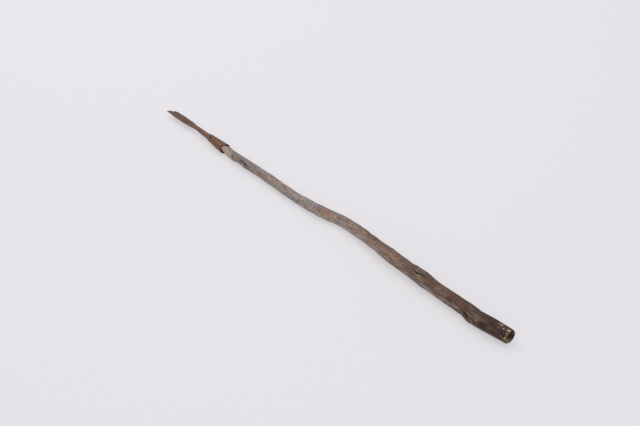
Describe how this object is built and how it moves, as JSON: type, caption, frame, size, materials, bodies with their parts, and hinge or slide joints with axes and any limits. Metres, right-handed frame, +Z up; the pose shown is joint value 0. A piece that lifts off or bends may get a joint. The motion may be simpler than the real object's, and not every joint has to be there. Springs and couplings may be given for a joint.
{
  "type": "harpoon",
  "caption": "Harpoon with a forged iron head, broken blade and rolled conical socket, pushed on the whittled end of a crooked, knotted branch shaft.",
  "frame": {"origin": "on the floor, under the middle of the whole object's box", "axes": "+X from the point to the butt, +Z up, the blade lies flat; the bow of the shaft stands out towards +Y"},
  "size_m": [1.2001, 0.055, 0.0412],
  "materials": {
    "rusted_iron": "old forged iron, brown rust and dull grey, dry",
    "weathered_wood": "weathered grey-brown branch with knots, darker towards the butt"
  },
  "bodies": {
    "shaft": {"shaft": "weathered_wood"},
    "head": {"iron_head": "rusted_iron"}
  },
  "joints": [
    {"name": "head_slip", "type": "slide", "parent": "shaft", "child": "head", "axis": [-0.9981, 0.061, 0], "range_m": [0, 0.09]}
  ]
}
